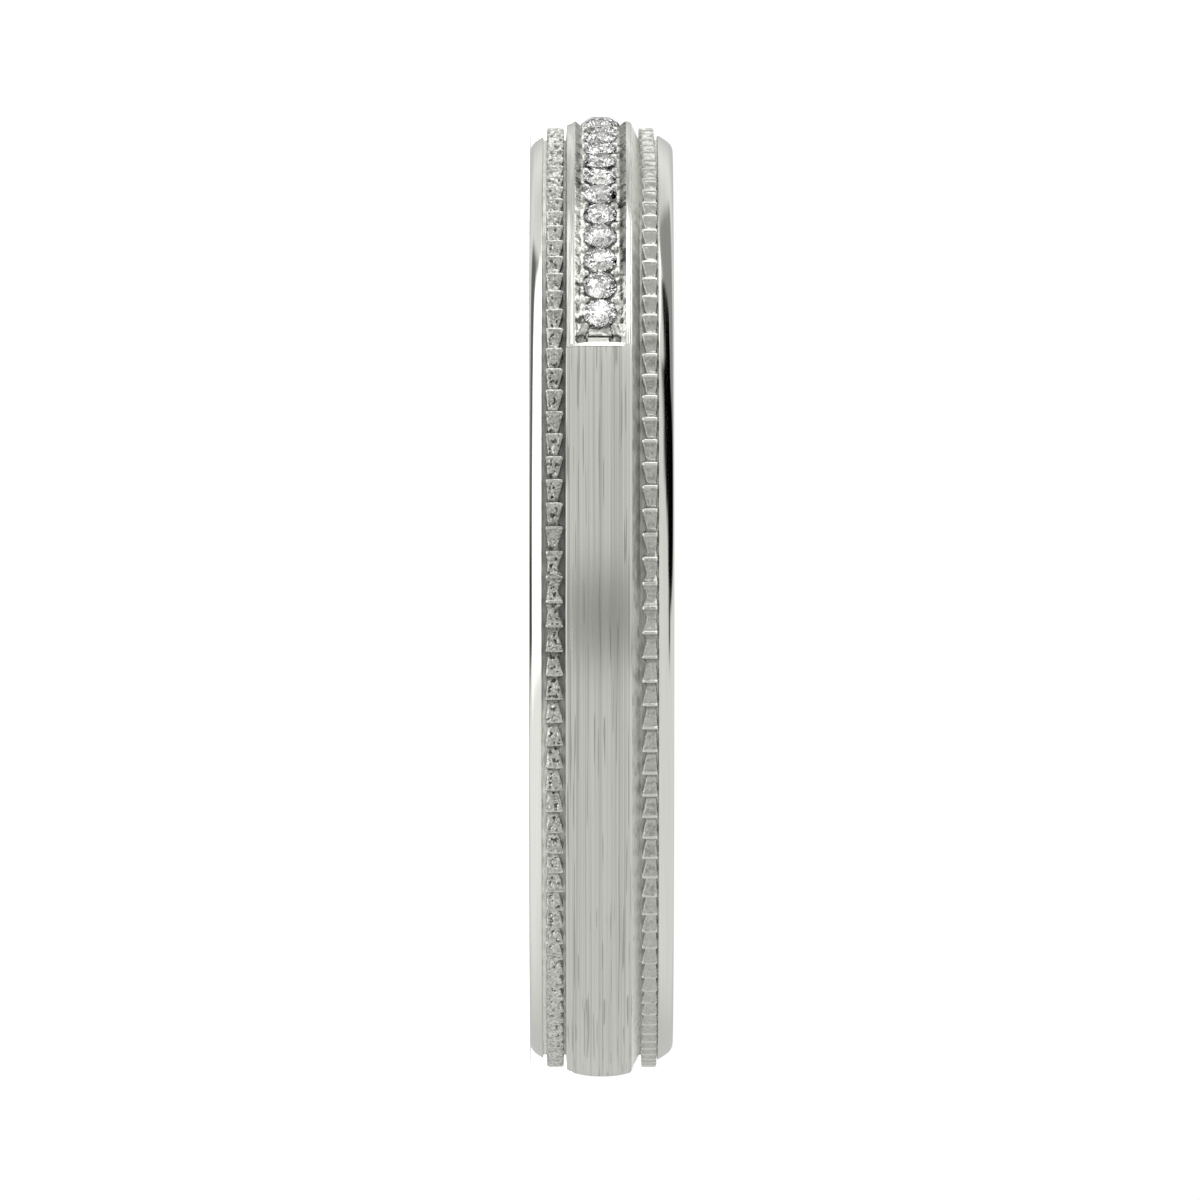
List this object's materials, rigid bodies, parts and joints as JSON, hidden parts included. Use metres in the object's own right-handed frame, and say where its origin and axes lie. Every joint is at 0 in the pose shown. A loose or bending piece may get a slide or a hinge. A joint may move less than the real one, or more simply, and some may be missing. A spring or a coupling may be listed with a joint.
{
  "type": "moissanite ring",
  "caption": "Narrow white-metal finger ring with a raised brushed centre band, milgrain rows, polished bevelled edges and a line of small round brilliants set in a channel.",
  "frame": {"origin": "on the surface that the ring lies on, under the middle of the ring", "axes": "+Z along the ring's axis, up from the side it lies on; -Y towards the middle of the line of stones; +X across the ring"},
  "size_m": [0.0202, 0.0203, 0.003],
  "materials": {
    "white_gold": "polished white gold with a brushed centre band",
    "moissanite": "clear faceted gem"
  },
  "bodies": {
    "root": {"band": "white_gold", "stone_01": "moissanite", "stone_02": "moissanite", "stone_03": "moissanite", "stone_04": "moissanite", "stone_05": "moissanite", "stone_06": "moissanite", "stone_07": "moissanite", "stone_08": "moissanite", "stone_09": "moissanite", "stone_10": "moissanite", "stone_11": "moissanite", "stone_12": "moissanite", "stone_13": "moissanite", "stone_14": "moissanite", "stone_15": "moissanite", "stone_16": "moissanite", "stone_17": "moissanite", "stone_18": "moissanite", "stone_19": "moissanite", "stone_20": "moissanite", "stone_21": "moissanite", "stone_22": "moissanite", "stone_23": "moissanite", "stone_24": "moissanite", "stone_25": "moissanite", "stone_26": "moissanite", "stone_27": "moissanite"}
  },
  "joints": []
}
